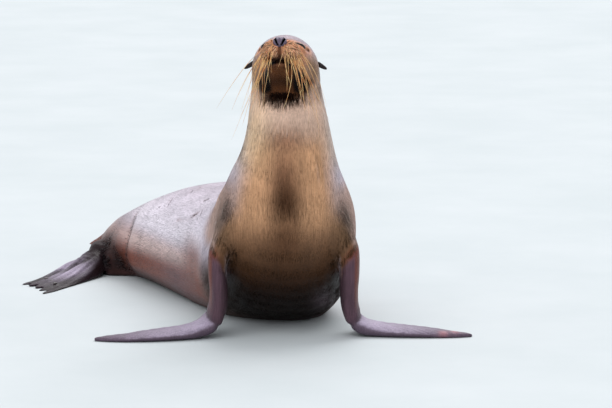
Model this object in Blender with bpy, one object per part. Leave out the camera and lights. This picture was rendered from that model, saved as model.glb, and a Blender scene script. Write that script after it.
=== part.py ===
"""A life-size adult female sea lion (Zalophus), sitting up on its fore flippers with its nose raised.

Metres, +Z up. The face looks along -Y and +X is the animal's left. The floor is z = 0. The trunk swings
back to the animal's right, and the hind flippers are turned out flat on the floor beside the rump.
"""

import math
from collections import namedtuple

import bmesh
import bpy
from mathutils import Matrix, Vector

# ---------------------------------------------------------------- driving dimensions
GAP = 0.0003  # clearance between pieces that meet
MERGE = 1e-6  # points nearer than this are one
SMOOTH_BELOW = math.radians(50)  # faces that meet at less than this shade as one
BODY_SIDES = 32  # facets round the head, neck and trunk
LEG_SIDES = 16
EAR_SIDES = 12
FLIPPER_SIDES = 18

EAR_CENTRE = Vector((0.001, 0.095, 0.712))  # midway between the ear holes
MUZZLE_PITCH = math.radians(24)  # the palate's rise above level
MUZZLE_YAW = math.radians(-5)  # the face turns a little to the animal's right

# ---------------------------------------------------------------- the head's own directions
FORWARD = Vector(
    (
        math.cos(MUZZLE_PITCH) * math.sin(MUZZLE_YAW),
        -math.cos(MUZZLE_PITCH) * math.cos(MUZZLE_YAW),
        math.sin(MUZZLE_PITCH),
    )
)
LEFT = Vector((math.cos(MUZZLE_YAW), math.sin(MUZZLE_YAW), 0))
CROWN = LEFT.cross(-FORWARD)
HEAD_TURN = Matrix((LEFT, -FORWARD, CROWN)).transposed().to_4x4()


def in_head(left, forward, up):
    """A point given from the ear centre along the head's own directions."""
    return EAR_CENTRE + LEFT * left + FORWARD * forward + CROWN * up


# ---------------------------------------------------------------- stations along the body, nose to tail
# at: centre of the ring; side, up, down: its reach sideways, to the back and to the belly;
# heading: which way its left side points, in degrees; square: 2 is an ellipse and more is boxier, for the
# back's half of the ring and for the belly's, which spreads where it lies on the floor.
Station = namedtuple("Station", "at side up down heading square_back square_belly")


def head_station(forward, up, side, above, below, square=2.0):
    """A ring of the head, whose centre lies `up` from the line through the ears along the muzzle."""
    return Station(in_head(0, forward, up), side, above, below, math.degrees(MUZZLE_YAW), square, square)


HEAD = [
    head_station(0.1740, 0.001, 0.009, 0.006, 0.010),
    head_station(0.1690, 0.001, 0.022, 0.014, 0.020),
    head_station(0.1560, 0.000, 0.035, 0.021, 0.030, 2.2),
    head_station(0.1360, -0.001, 0.042, 0.027, 0.036, 2.3),
    head_station(0.1080, -0.003, 0.046, 0.037, 0.038, 2.2),
    head_station(0.0820, -0.004, 0.055, 0.053, 0.043, 2.1),
    head_station(0.0500, -0.005, 0.074, 0.072, 0.052),
    head_station(0.0150, -0.009, 0.0865, 0.086, 0.062),
]
NECK = [
    Station(Vector((0.002, 0.0990, 0.6860)), 0.0895, 0.093, 0.068, -3, 2.0, 2.0),
    Station(Vector((0.003, 0.1165, 0.6440)), 0.0930, 0.090, 0.092, -1, 2.0, 2.0),
    Station(Vector((0.005, 0.1230, 0.6000)), 0.1000, 0.092, 0.113, 0, 2.0, 2.0),
    Station(Vector((0.008, 0.1200, 0.5400)), 0.1105, 0.098, 0.123, 0, 2.0, 2.0),
    Station(Vector((0.008, 0.1210, 0.4740)), 0.1260, 0.112, 0.138, 0, 2.0, 2.0),
]
CHEST = [
    Station(Vector((0.004, 0.140, 0.400)), 0.154, 0.140, 0.166, 0, 2.1, 2.1),
    Station(Vector((0.000, 0.188, 0.308)), 0.186, 0.170, 0.206, -2, 2.2, 2.2),
    Station(Vector((-0.010, 0.274, 0.228)), 0.198, 0.182, 0.206, -6, 2.2, 2.4),
    Station(Vector((-0.036, 0.400, 0.172)), 0.206, 0.189, 0.193, -13, 2.2, 2.9),
]
TRUNK = [
    Station(Vector((-0.084, 0.545, 0.146)), 0.203, 0.192, 0.180, -23, 2.2, 3.2),
    Station(Vector((-0.156, 0.692, 0.130)), 0.193, 0.187, 0.162, -29, 2.2, 3.2),
    Station(Vector((-0.243, 0.832, 0.114)), 0.171, 0.169, 0.143, -34, 2.2, 3.0),
]
RUMP = [
    Station(Vector((-0.334, 0.955, 0.098)), 0.138, 0.141, 0.121, -38, 2.1, 2.8),
    Station(Vector((-0.416, 1.054, 0.083)), 0.107, 0.110, 0.100, -41, 2.0, 2.4),
    Station(Vector((-0.476, 1.119, 0.074)), 0.077, 0.077, 0.078, -43, 2.0, 2.2),
]
TAIL = [
    Station(Vector((-0.516, 1.161, 0.067)), 0.042, 0.038, 0.040, -44, 2.0, 2.0),
    Station(Vector((-0.552, 1.198, 0.060)), 0.021, 0.014, 0.016, -44, 2.0, 2.0),
    Station(Vector((-0.586, 1.232, 0.054)), 0.008, 0.005, 0.006, -44, 2.0, 2.0),
]
BODY = HEAD + NECK + CHEST + TRUNK + RUMP + TAIL

# ---------------------------------------------------------------- flipper stations
# at: centre of the section; chord: half its breadth, fore and aft; thick: half its thickness;
# splay: how far the trailing edge swings outwards, as a share of its way back.
Blade = namedtuple("Blade", "at chord thick splay")

FORE_RIGHT = [
    Blade(Vector((-0.120, 0.150, 0.330)), 0.062, 0.0400, 0.0),
    Blade(Vector((-0.158, 0.118, 0.262)), 0.074, 0.0360, 0.0),
    Blade(Vector((-0.177, 0.094, 0.190)), 0.072, 0.0265, 0.0),
    Blade(Vector((-0.176, 0.082, 0.120)), 0.064, 0.0235, 0.12),
    Blade(Vector((-0.182, 0.080, 0.068)), 0.062, 0.0225, 0.30),
    Blade(Vector((-0.203, 0.079, 0.033)), 0.064, 0.0215, 0.30),
    Blade(Vector((-0.243, 0.070, 0.0165)), 0.066, 0.0180, 0.12),
    Blade(Vector((-0.320, 0.041, 0.0115)), 0.060, 0.0130, 0.0),
    Blade(Vector((-0.400, 0.018, 0.0080)), 0.045, 0.0095, 0.0),
    Blade(Vector((-0.462, 0.006, 0.0055)), 0.026, 0.0065, 0.0),
    Blade(Vector((-0.496, 0.001, 0.0035)), 0.007, 0.0035, 0.0),
]
FORE_LEFT = [
    Blade(Vector((0.115, 0.150, 0.330)), 0.062, 0.0400, 0.0),
    Blade(Vector((0.152, 0.118, 0.262)), 0.074, 0.0380, 0.0),
    Blade(Vector((0.168, 0.098, 0.190)), 0.072, 0.0290, 0.0),
    Blade(Vector((0.168, 0.092, 0.120)), 0.064, 0.0245, -0.06),
    Blade(Vector((0.174, 0.094, 0.068)), 0.060, 0.0225, -0.15),
    Blade(Vector((0.192, 0.098, 0.032)), 0.061, 0.0215, -0.15),
    Blade(Vector((0.234, 0.104, 0.0165)), 0.064, 0.0180, 0.0),
    Blade(Vector((0.310, 0.092, 0.0115)), 0.060, 0.0130, 0.0),
    Blade(Vector((0.392, 0.076, 0.0080)), 0.045, 0.0095, 0.0),
    Blade(Vector((0.456, 0.065, 0.0055)), 0.026, 0.0065, 0.0),
    Blade(Vector((0.490, 0.060, 0.0035)), 0.007, 0.0035, 0.0),
]

# ---------------------------------------------------------------- finishes
FINISHES = {
    "coat": ((0.27, 0.20, 0.15), 0.55),
    "flipper": ((0.09, 0.065, 0.07), 0.45),
    "nose": ((0.02, 0.018, 0.02), 0.35),
    "eye": ((0.01, 0.01, 0.01), 0.1),
    "nail": ((0.05, 0.045, 0.04), 0.4),
}


def finish(name):
    """The Principled material of one of the animal's surfaces."""
    material = bpy.data.materials.get(name)
    if material is None:
        colour, roughness = FINISHES[name]
        material = bpy.data.materials.new(name)
        material.use_nodes = True
        shader = material.node_tree.nodes["Principled BSDF"]
        shader.inputs["Base Color"].default_value = (*colour, 1)
        shader.inputs["Roughness"].default_value = roughness
        shader.inputs["Metallic"].default_value = 0
    return material


# ---------------------------------------------------------------- shape tools
def flat_numbers(station):
    """A station's values as one list of numbers, so that they can be blended."""
    return [n for value in station for n in (value if isinstance(value, Vector) else (value,))]


class Track:
    """A smooth run through a list of stations, read at any share of its length."""

    def __init__(self, stations):
        self.rows = [flat_numbers(s) for s in stations]
        self.marks = [0.0]
        for a, b in zip(stations, stations[1:]):
            self.marks.append(self.marks[-1] + (b.at - a.at).length)

    def slope(self, i, column):
        """The rate of change at station i, from its neighbours."""
        low, high = max(i - 1, 0), min(i + 1, len(self.rows) - 1)
        return (self.rows[high][column] - self.rows[low][column]) / (self.marks[high] - self.marks[low])

    def at(self, distance):
        """The blended values at a distance from the first station, by cubic Hermite pieces."""
        distance = min(max(distance, 0.0), self.marks[-1])
        i = max(k for k in range(len(self.marks) - 1) if self.marks[k] <= distance)
        span = self.marks[i + 1] - self.marks[i]
        t = (distance - self.marks[i]) / span
        ease = (2 * t**3 - 3 * t**2 + 1, t**3 - 2 * t**2 + t, 3 * t**2 - 2 * t**3, t**3 - t**2)
        return [
            ease[0] * self.rows[i][c]
            + ease[1] * span * self.slope(i, c)
            + ease[2] * self.rows[i + 1][c]
            + ease[3] * span * self.slope(i + 1, c)
            for c in range(len(self.rows[0]))
        ]

    def direction(self, distance):
        """The run's unit direction, tip of the nose towards the tail, or root towards tip."""
        step = 0.002
        ahead, behind = self.at(distance + step), self.at(distance - step)
        return Vector([a - b for a, b in zip(ahead[:3], behind[:3])]).normalized()


def oval(angle, square):
    """A point of a unit superellipse."""
    c, s = math.cos(angle), math.sin(angle)
    return (
        math.copysign(abs(c) ** (2 / square), c),
        math.copysign(abs(s) ** (2 / square), s),
    )


def body_ring(track, distance):
    """One cross-section of the head, neck or trunk."""
    row = track.at(distance)
    centre, (side, up, down, heading, square_back, square_belly) = Vector(row[:3]), row[3:]
    along = track.direction(distance)
    left = Vector((math.cos(math.radians(heading)), math.sin(math.radians(heading)), 0))
    left = (left - along * left.dot(along)).normalized()
    back = left.cross(along)
    ring = []
    for k in range(BODY_SIDES):
        angle = math.tau * k / BODY_SIDES
        c, s = oval(angle, square_back if angle < math.pi else square_belly)
        ring.append(centre + left * (c * side) + back * (s * (up if s > 0 else down)))
    return ring


def blade_ring(track, distance, sides):
    """One cross-section of a fore flipper: its breadth lies fore and aft, and its front edge is the fuller."""
    row = track.at(distance)
    centre, (chord, thick, splay) = Vector(row[:3]), row[3:]
    along = track.direction(distance)
    breadth = Vector((-splay, 1, 0))
    breadth = (breadth - along * breadth.dot(along)).normalized()
    up = breadth.cross(along)
    ring = []
    for k in range(sides):
        c, s = math.cos(2 * math.pi * k / sides), math.sin(2 * math.pi * k / sides)
        fullness = 1 - 0.42 * (c + 0.25)  # thins towards the trailing edge
        ring.append(centre + breadth * (c * chord) + up * (s * thick * fullness))
    return ring


def new_object(name, bm, material):
    """A bmesh as a scene object, smooth but for its sharp edges.

    It is split into triangles here, so that a swollen copy bends along the same lines.
    """
    bmesh.ops.triangulate(bm, faces=bm.faces[:])
    bmesh.ops.recalc_face_normals(bm, faces=bm.faces[:])
    if bm.calc_volume(signed=True) < 0:
        bmesh.ops.reverse_faces(bm, faces=bm.faces[:])
    mesh = bpy.data.meshes.new(name)
    bm.to_mesh(mesh)
    bm.free()
    mesh.materials.append(finish(material))
    mesh.shade_smooth()
    mesh.set_sharp_from_angle(angle=SMOOTH_BELOW)
    made = bpy.data.objects.new(name, mesh)
    bpy.context.scene.collection.objects.link(made)
    return made


def tube(name, rings, material):
    """A closed solid through a list of rings, with a fan over each end."""
    bm = bmesh.new()
    rows = [[bm.verts.new(p) for p in ring] for ring in rings]
    count = len(rows[0])
    for a, b in zip(rows, rows[1:]):
        for k in range(count):
            bm.faces.new((a[k], a[(k + 1) % count], b[(k + 1) % count], b[k]))
    for row in (rows[0], rows[-1]):
        bm.faces.new(row)
    return new_object(name, bm, material)


def ball(name, centre, radii, turn, material, sides=14):
    """An ellipsoid with its own directions."""
    bm = bmesh.new()
    place = Matrix.Translation(centre) @ turn @ Matrix.Diagonal((*radii, 1))
    bmesh.ops.create_uvsphere(bm, u_segments=sides, v_segments=sides // 2, radius=1, matrix=place)
    return new_object(name, bm, material)


def boolean(target, tool, operation):
    """Joins a tool to the target or cuts it away, and applies the result."""
    modifier = target.modifiers.new(operation.lower(), "BOOLEAN")
    modifier.operation = operation
    modifier.solver = "EXACT"
    modifier.object = tool
    with bpy.context.temp_override(object=target, active_object=target):
        bpy.ops.object.modifier_apply(modifier=modifier.name)
    bpy.data.objects.remove(tool)


def grown(source, by=GAP):
    """A copy of a piece, swollen along its normals, which cuts a neighbour back from it."""
    copy = source.copy()
    copy.data = source.data.copy()
    bpy.context.scene.collection.objects.link(copy)
    bm = bmesh.new()
    bm.from_mesh(copy.data)
    bmesh.ops.remove_doubles(bm, verts=bm.verts[:], dist=MERGE)
    bm.normal_update()
    for vert in bm.verts:
        vert.co += vert.normal * by * vert.calc_shell_factor()
    bm.to_mesh(copy.data)
    bm.free()
    return copy


def cut_clear(target, neighbour):
    """Cuts the target back from a neighbour, with a gap."""
    boolean(target, grown(neighbour), "DIFFERENCE")
    drop_crumbs(target)


def drop_crumbs(target):
    """Keeps only the largest connected body of a piece, after cuts that can leave slivers loose."""
    bm = bmesh.new()
    bm.from_mesh(target.data)
    left, bodies = set(bm.verts), []
    while left:
        body, edge = set(), [left.pop()]
        while edge:
            vert = edge.pop()
            body.add(vert)
            near = {e.other_vert(vert) for e in vert.link_edges} & left
            left -= near
            edge.extend(near)
        bodies.append(body)
    bodies.sort(key=len)
    bmesh.ops.delete(bm, geom=[v for body in bodies[:-1] for v in body], context="VERTS")
    bm.to_mesh(target.data)
    bm.free()


def cut_flat(target, point, keep):
    """Cuts a piece on a plane and closes it with a flat; `keep` points to the side that stays."""
    bm = bmesh.new()
    bm.from_mesh(target.data)
    bmesh.ops.bisect_plane(
        bm,
        geom=bm.verts[:] + bm.edges[:] + bm.faces[:],
        dist=MERGE,
        plane_co=point,
        plane_no=keep,
        clear_inner=True,
    )
    rim = [e for e in bm.edges if e.is_boundary]
    bmesh.ops.holes_fill(bm, edges=rim)
    bmesh.ops.recalc_face_normals(bm, faces=bm.faces[:])
    bm.to_mesh(target.data)
    bm.free()


def rest_on_floor(target):
    """Cuts off what presses below the floor, so that the piece rests on a flat."""
    cut_flat(target, (0, 0, 0), (0, 0, 1))


# ---------------------------------------------------------------- head, neck, trunk and tail
BODY_TRACK = Track(BODY)
# where each length of the body ends, as a station's place in BODY, and how many rings it takes
LENGTHS = [
    ("head", len(HEAD) + 0.5, 17),
    ("neck", len(HEAD) + len(NECK) - 0.5, 9),
    ("chest", len(HEAD) + len(NECK) + len(CHEST) - 0.5, 15),
    ("trunk", len(BODY) - len(TAIL) - len(RUMP) - 0.5, 7),
    ("rump", len(BODY) - len(TAIL) - 0.45, 7),
    ("tail", len(BODY) - 1, 5),
]


def mark_of(place):
    """The distance along the body of a station's place, which may be between two stations."""
    i = min(int(place), len(BODY_TRACK.marks) - 2)
    share = place - i
    return BODY_TRACK.marks[i] * (1 - share) + BODY_TRACK.marks[i + 1] * share


def body_lengths():
    """The body from nose to tail, in lengths that meet with a thin gap."""
    made = {}
    start = 0.0
    for name, place, count in LENGTHS:
        end = mark_of(place)
        first = start + (GAP / 2 if start else 0)
        last = end - (GAP / 2 if name != "tail" else 0)
        rings = [body_ring(BODY_TRACK, first + (last - first) * k / (count - 1)) for k in range(count)]
        made[name] = tube(name, rings, "coat")
        if name not in ("head", "neck", "tail"):
            rest_on_floor(made[name])
        start = end
    return made


# ---------------------------------------------------------------- the face
# Places are (left, forward, up) from the ear centre, on the left side. Radii are (across, along, up).
PAD_PLACE = (0.0225, 0.138, -0.013)
PAD_RADII = (0.0245, 0.0275, 0.0275)
BROW_PLACE = (0.038, 0.066, 0.018)
BROW_RADII = (0.022, 0.036, 0.019)
NOSE_PLACE = (0, 0.1665, 0.007)
NOSE_RADII = (0.0185, 0.0125, 0.0135)
NOSTRIL_PLACE = (0.0092, 0.1775, 0.0065)
NOSTRIL_RADII = (0.0032, 0.0052, 0.0078)
NOSTRIL_SLANT = math.radians(24)
EYE_INNER = (0.037, 0.0900, 0.0300)
EYE_OUTER = (0.0645, 0.0600, 0.0210)
EYE_RADII = (0.017, 0.0048, 0.0085)  # half the nearly closed slit's length, its half height, the depth
SKULL_CORE = (0, 0.03, -0.01)  # the eyes face away from here
EAR_ROOT = (0.080, -0.002, 0.006)
EAR_AIM = Vector((0.64, 0.58, -0.44)).normalized()  # out, back and down, for the left ear
EAR_LENGTH = 0.040  # from inside the skull to the tip
# share of the ear's length, half its breadth, half its thickness
EAR_RINGS = [
    (0, 0.0058, 0.0042),
    (0.3, 0.0066, 0.0042),
    (0.6, 0.0056, 0.0034),
    (0.85, 0.0036, 0.0024),
    (1, 0.0012, 0.0010),
]
# forward, up, side, above, below: see head_station
JAW = [
    (0.1400, -0.040, 0.010, 0.010, 0.009),
    (0.1340, -0.042, 0.023, 0.014, 0.015),
    (0.1180, -0.044, 0.033, 0.018, 0.020),
    (0.0880, -0.047, 0.042, 0.022, 0.026),
    (0.0540, -0.052, 0.053, 0.026, 0.032),
    (0.0180, -0.062, 0.063, 0.030, 0.034),
    (-0.015, -0.076, 0.066, 0.034, 0.030),
]
JAW_SQUARE = 2.2
JAW_RINGS = 9


def on_side(side, place):
    """A place of the face on one side of the head: 1 is the left, -1 the right."""
    left, forward, up = place
    return in_head(side * left, forward, up)


def whisker_pads(head):
    """The full upper lips on each side of the nose, one with the head."""
    for side in (-1, 1):
        pad = ball("pad", on_side(side, PAD_PLACE), PAD_RADII, HEAD_TURN, "coat")
        boolean(head, pad, "UNION")


def brows(head):
    """The soft mound of lid and brow round each eye."""
    for side in (-1, 1):
        mound = ball("brow", on_side(side, BROW_PLACE), BROW_RADII, HEAD_TURN, "coat")
        boolean(head, mound, "UNION")


def lower_jaw(head, neck):
    """The chin and the underside of the jaw, below the lips."""
    track = Track([head_station(*row, JAW_SQUARE) for row in JAW])
    rings = [body_ring(track, track.marks[-1] * k / (JAW_RINGS - 1)) for k in range(JAW_RINGS)]
    jaw = tube("lower_jaw", rings, "coat")
    cut_clear(jaw, head)
    cut_clear(jaw, neck)


def nose(head):
    """The bare black pad at the tip of the muzzle, with its two slanting nostrils."""
    pad = ball("nose_pad", in_head(*NOSE_PLACE), NOSE_RADII, HEAD_TURN, "nose", 16)
    for side in (-1, 1):
        slant = Matrix.Rotation(side * NOSTRIL_SLANT, 4, "Y")
        nostril = ball("nostril", on_side(side, NOSTRIL_PLACE), NOSTRIL_RADII, HEAD_TURN @ slant, "nose", 8)
        boolean(pad, nostril, "DIFFERENCE")
    cut_clear(head, pad)


def eyes(head):
    """What shows of each eye between the nearly closed lids."""
    for side, name in ((-1, "eye_right"), (1, "eye_left")):
        inner = on_side(side, EYE_INNER)
        outer = on_side(side, EYE_OUTER)
        along = (outer - inner).normalized()
        out = ((inner + outer) / 2 - in_head(*SKULL_CORE)).normalized()
        out = (out - along * out.dot(along)).normalized()
        turn = Matrix((along, out.cross(along), out)).transposed().to_4x4()
        eye = ball(name, (inner + outer) / 2, EYE_RADII, turn, "eye", 12)
        cut_clear(head, eye)


def ears(head):
    """The small rolled ears, which taper to a point and hang out and back."""
    for side, name in ((-1, "ear_right"), (1, "ear_left")):
        root = on_side(side, EAR_ROOT)
        aim = Vector((side * EAR_AIM.x, EAR_AIM.y, EAR_AIM.z))
        tip = root + aim * EAR_LENGTH
        flat = Vector((0, 1, 0.55))
        flat = (flat - aim * flat.dot(aim)).normalized()
        thin = aim.cross(flat)
        turns = [math.tau * k / EAR_SIDES for k in range(EAR_SIDES)]
        rings = []
        for share, broad, deep in EAR_RINGS:
            centre = root.lerp(tip, share)
            rings.append([centre + flat * broad * math.cos(t) + thin * deep * math.sin(t) for t in turns])
        ear = tube(name, rings, "flipper")
        cut_clear(ear, head)


# ---------------------------------------------------------------- fore flippers
ARM_STATIONS = 4.6  # the arm gives way to the flipper's blade at this place in the list


def fore_flipper(side_name, stations, chest):
    """One arm and its blade, folded at the wrist and laid out flat on the floor."""
    track = Track(stations)
    i = int(ARM_STATIONS)
    wrist = track.marks[i] + (ARM_STATIONS - i) * (track.marks[i + 1] - track.marks[i])
    for name, start, end, count in (
        ("fore_arm_", 0.0, wrist - GAP / 2, 9),
        ("fore_flipper_", wrist + GAP / 2, track.marks[-1], 16),
    ):
        rings = [blade_ring(track, start + (end - start) * k / (count - 1), FLIPPER_SIDES) for k in range(count)]
        piece = tube(name + side_name, rings, "flipper")
        if name == "fore_arm_":
            cut_clear(piece, chest)
        rest_on_floor(piece)


# ---------------------------------------------------------------- hind flippers
TOES = 5
ACROSS = 21  # grid points over a hind flipper, side to side
ALONG = 10
RUMP_BACK = Vector((-0.735, 0.678, 0))  # the way the rump points
FOOT_MIRROR = Vector((-0.410, 1.060, 0))  # a point on the rump's middle line

FOOT = {
    "heel_near": Vector((-0.520, 0.985, 0)),
    "heel_far": Vector((-0.568, 1.082, 0)),
    "toe_near": Vector((-0.682, 0.660, 0)),
    "toe_far": Vector((-0.766, 0.842, 0)),
}
HEEL_HEIGHT = 0.064
WEB = 0.0135  # thickness of the foot behind the toes
RIM = 0.003  # thickness of the foot's edge
MIDDLE_SHORTER = 0.07  # how much shorter the middle toes are, as a share of the foot
NOTCH = 0.12  # depth of the notches between the toes, as a share of the foot
FURROW = 0.36  # how far the web between the toes lies below them, as a share of their thickness
NAIL = (0.0036, 0.0085, 0.0030)  # half its breadth, length and thickness
NAILED_TOES = (1, 2, 3)
NAIL_PLACE = 0.74  # how far along the foot the nails sit


def mirrored(point):
    """The same point on the other side of the rump."""
    along = (point - FOOT_MIRROR).dot(RUMP_BACK)
    level = Vector((point.x, point.y, 0)) - FOOT_MIRROR
    across = level - RUMP_BACK * level.dot(RUMP_BACK)
    return FOOT_MIRROR + RUMP_BACK * along - across + Vector((0, 0, point.z))


def foot_point(across, along):
    """(place on the floor, height) of a hind flipper's top at a share across and along it."""
    heel = FOOT["heel_near"].lerp(FOOT["heel_far"], across)
    toe = FOOT["toe_near"].lerp(FOOT["toe_far"], across)
    toe_wave = abs(math.sin(math.pi * TOES * across))
    middle = 1 - abs(2 * across - 1) ** 1.5  # the outer toes are the longest
    reach = 1 - MIDDLE_SHORTER * middle - NOTCH * (1 - toe_wave**0.7)
    place = heel.lerp(toe, along * reach)
    fall = 3 if across < 0.5 else 5  # the near edge is the rounder
    edge = (1 - abs(2 * across - 1) ** fall) ** 0.5 if 0 < across < 1 else 0.0
    spine = HEEL_HEIGHT * (1 - along) ** (2.7 - 1.45 * across) + WEB * (1 - 0.62 * along)
    ridge = 1 - FURROW * min(1, along / 0.5) ** 1.5 * (1 - toe_wave)
    return place, RIM + (spine * ridge - RIM) * edge * (1 - 0.75 * along**6)


def hind_flipper(side_name, turn):
    """One hind foot: five toes webbed into a fan with a notched edge, flat beneath."""
    bm = bmesh.new()
    top, sole = [], []
    for j in range(ALONG):
        line = [foot_point(i / (ACROSS - 1), j / (ALONG - 1)) for i in range(ACROSS)]
        top.append([bm.verts.new(turn(p + Vector((0, 0, h)))) for p, h in line])
        sole.append([bm.verts.new(turn(p)) for p, _ in line])
    for sheet in (top, sole):
        for a, b in zip(sheet, sheet[1:]):
            for k in range(ACROSS - 1):
                bm.faces.new((a[k], a[k + 1], b[k + 1], b[k]))
    edge_top = top[0] + [r[-1] for r in top[1:]] + top[-1][-2::-1] + [r[0] for r in top[-2:0:-1]]
    edge_sole = sole[0] + [r[-1] for r in sole[1:]] + sole[-1][-2::-1] + [r[0] for r in sole[-2:0:-1]]
    for k in range(len(edge_top)):
        n = (k + 1) % len(edge_top)
        bm.faces.new((edge_top[k], edge_top[n], edge_sole[n], edge_sole[k]))
    return new_object("hind_flipper_" + side_name, bm, "flipper")


def nails(side_name, turn, foot):
    """The small nails on the three middle toes, set back from the tips."""
    for toe in NAILED_TOES:
        across = (toe + 0.5) / TOES
        place, height = foot_point(across, NAIL_PLACE)
        ahead, lower = foot_point(across, NAIL_PLACE + 0.05)
        centre = turn(place + Vector((0, 0, height)))
        along = (turn(ahead + Vector((0, 0, lower))) - centre).normalized()
        side = along.cross(Vector((0, 0, 1))).normalized()
        lie = Matrix((side, along, side.cross(along))).transposed().to_4x4()
        nail = ball("nail_{}_{}".format(side_name, toe), centre, NAIL, lie, "nail", 10)
        cut_clear(nail, foot)


SHANK = [
    Station(Vector((-0.380, 1.005, 0.066)), 0.058, 0.058, 0.075, 60, 2.2, 2.6),
    Station(Vector((-0.450, 1.018, 0.052)), 0.056, 0.046, 0.062, 60, 2.2, 2.6),
    Station(Vector((-0.505, 1.024, 0.040)), 0.053, 0.038, 0.050, 62, 2.2, 2.6),
    Station(Vector((-0.545, 1.033, 0.034)), 0.053, 0.041, 0.044, 63, 2.2, 2.6),
    Station(Vector((-0.575, 1.034, 0.030)), 0.050, 0.038, 0.040, 63, 2.2, 2.6),
]
SHANK_RINGS = 8


def hind_leg(side_name, turn, rump):
    """The short shank between the rump and the hind foot, cut flat where the foot begins."""
    track = Track(SHANK)
    rings = []
    for k in range(SHANK_RINGS):
        whole = body_ring(track, track.marks[-1] * k / (SHANK_RINGS - 1))
        rings.append([turn(p) for p in whole[:: BODY_SIDES // LEG_SIDES]])
    leg = tube("hind_leg_" + side_name, rings, "flipper")
    rest_on_floor(leg)
    near, far = turn(FOOT["heel_near"]), turn(FOOT["heel_far"])
    toes = turn(FOOT["toe_near"].lerp(FOOT["toe_far"], 0.5)) - near
    across = (far - near).normalized()
    ahead = (toes - across * toes.dot(across)).normalized()
    cut_flat(leg, near - ahead * GAP, -ahead)
    cut_clear(leg, rump)


# ---------------------------------------------------------------- the whole animal
def centre_footprint():
    """Moves the whole animal so that the middle of its floor outline is the origin."""
    points = [v.co for made in bpy.data.objects for v in made.data.vertices]
    middle = [(min(p[k] for p in points) + max(p[k] for p in points)) / 2 for k in (0, 1)]
    for made in bpy.data.objects:
        made.data.transform(Matrix.Translation((-middle[0], -middle[1], 0)))


def main():
    for old in list(bpy.data.objects):
        bpy.data.objects.remove(old)
    body = body_lengths()
    whisker_pads(body["head"])
    brows(body["head"])
    lower_jaw(body["head"], body["neck"])
    nose(body["head"])
    eyes(body["head"])
    ears(body["head"])
    fore_flipper("right", FORE_RIGHT, body["chest"])
    fore_flipper("left", FORE_LEFT, body["chest"])
    for side_name, turn in (("right", lambda p: p), ("left", mirrored)):
        foot = hind_flipper(side_name, turn)
        nails(side_name, turn, foot)
        hind_leg(side_name, turn, body["rump"])
    centre_footprint()


main()
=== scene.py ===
"""Finish of a life-size museum model of a sea lion that sits up on its fore flippers with its muzzle raised.

Everything is in metres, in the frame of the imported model. The skin is one closed mesh, made from copies of
the flesh nodes, and the short wet coat is solid mesh tufts that lie along it."""

import math

import bpy
import numpy as np
from mathutils import Matrix, Vector
from mathutils.bvhtree import BVHTree


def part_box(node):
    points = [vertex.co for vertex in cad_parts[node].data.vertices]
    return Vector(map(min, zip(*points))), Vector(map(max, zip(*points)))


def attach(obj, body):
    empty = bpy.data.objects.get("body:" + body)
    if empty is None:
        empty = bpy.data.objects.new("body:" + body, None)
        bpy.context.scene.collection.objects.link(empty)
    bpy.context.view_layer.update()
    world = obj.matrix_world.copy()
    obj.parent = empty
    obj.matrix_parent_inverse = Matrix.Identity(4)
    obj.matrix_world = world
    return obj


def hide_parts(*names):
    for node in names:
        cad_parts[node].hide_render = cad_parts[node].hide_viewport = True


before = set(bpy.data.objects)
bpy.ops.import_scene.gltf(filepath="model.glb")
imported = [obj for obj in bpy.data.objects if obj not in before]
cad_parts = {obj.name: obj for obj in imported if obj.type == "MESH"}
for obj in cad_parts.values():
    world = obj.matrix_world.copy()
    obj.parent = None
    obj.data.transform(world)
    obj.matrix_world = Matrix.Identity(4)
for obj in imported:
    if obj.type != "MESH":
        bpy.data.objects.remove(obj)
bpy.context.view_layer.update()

MM = 0.001
COAT_DEPTH = 2.0 * MM
SEED = 7

BODY = ("head", "lower_jaw", "neck", "chest", "trunk", "rump", "tail")
ARMS = ("fore_arm_left", "fore_arm_right")
LEGS = ("hind_leg_left", "hind_leg_right")
FORE_FLIPPERS = ("fore_flipper_left", "fore_flipper_right")
HIND_FLIPPERS = ("hind_flipper_left", "hind_flipper_right")
FLIPPERS = FORE_FLIPPERS + HIND_FLIPPERS
FLESH = BODY + ARMS + LEGS + FLIPPERS


def middle(node):
    """The middle of a node's box."""
    low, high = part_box(node)
    return (low + high) / 2


# The head's own axes: left ear to right ear, ears to nose, and up through the crown.
EARS = (middle("ear_left") + middle("ear_right")) / 2
NOSE = middle("nose_pad")
FORWARD = (NOSE - EARS).normalized()
ACROSS = middle("ear_left") - middle("ear_right")
LEFT = (ACROSS - FORWARD * ACROSS.dot(FORWARD)).normalized()
CROWN = LEFT.cross(-FORWARD)


def on_head(left, forward, up):
    """A point given in the head's own axes."""
    return EARS + LEFT * left + FORWARD * forward + CROWN * up


def in_head(points):
    """How far left, forward and up each point of an array lies in the head's own axes."""
    offset = points - np.array(EARS)
    return [offset @ np.array(axis) for axis in (LEFT, FORWARD, CROWN)]


# ---------------------------------------------------------------- small tools


def only(*objects):
    """Selects these objects and no others."""
    bpy.ops.object.select_all(action="DESELECT")
    for item in objects:
        item.select_set(True)
    bpy.context.view_layer.objects.active = objects[0]


def press(piece, kind, **settings):
    """Adds a modifier and applies it."""
    only(piece)
    modifier = piece.modifiers.new(kind.lower(), kind)
    for key, value in settings.items():
        setattr(modifier, key, value)
    bpy.ops.object.modifier_apply(modifier=modifier.name)


def remesh(piece, size):
    """Rebuilds a piece as one closed shell of small squares."""
    press(piece, "REMESH", mode="VOXEL", voxel_size=size)


def whole(piece, tool, **settings):
    """Runs one of the mesh editor's tools on the whole of a piece."""
    only(piece)
    bpy.ops.object.mode_set(mode="EDIT")
    bpy.ops.mesh.select_all(action="SELECT")
    tool(**settings)
    bpy.ops.object.mode_set(mode="OBJECT")


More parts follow.
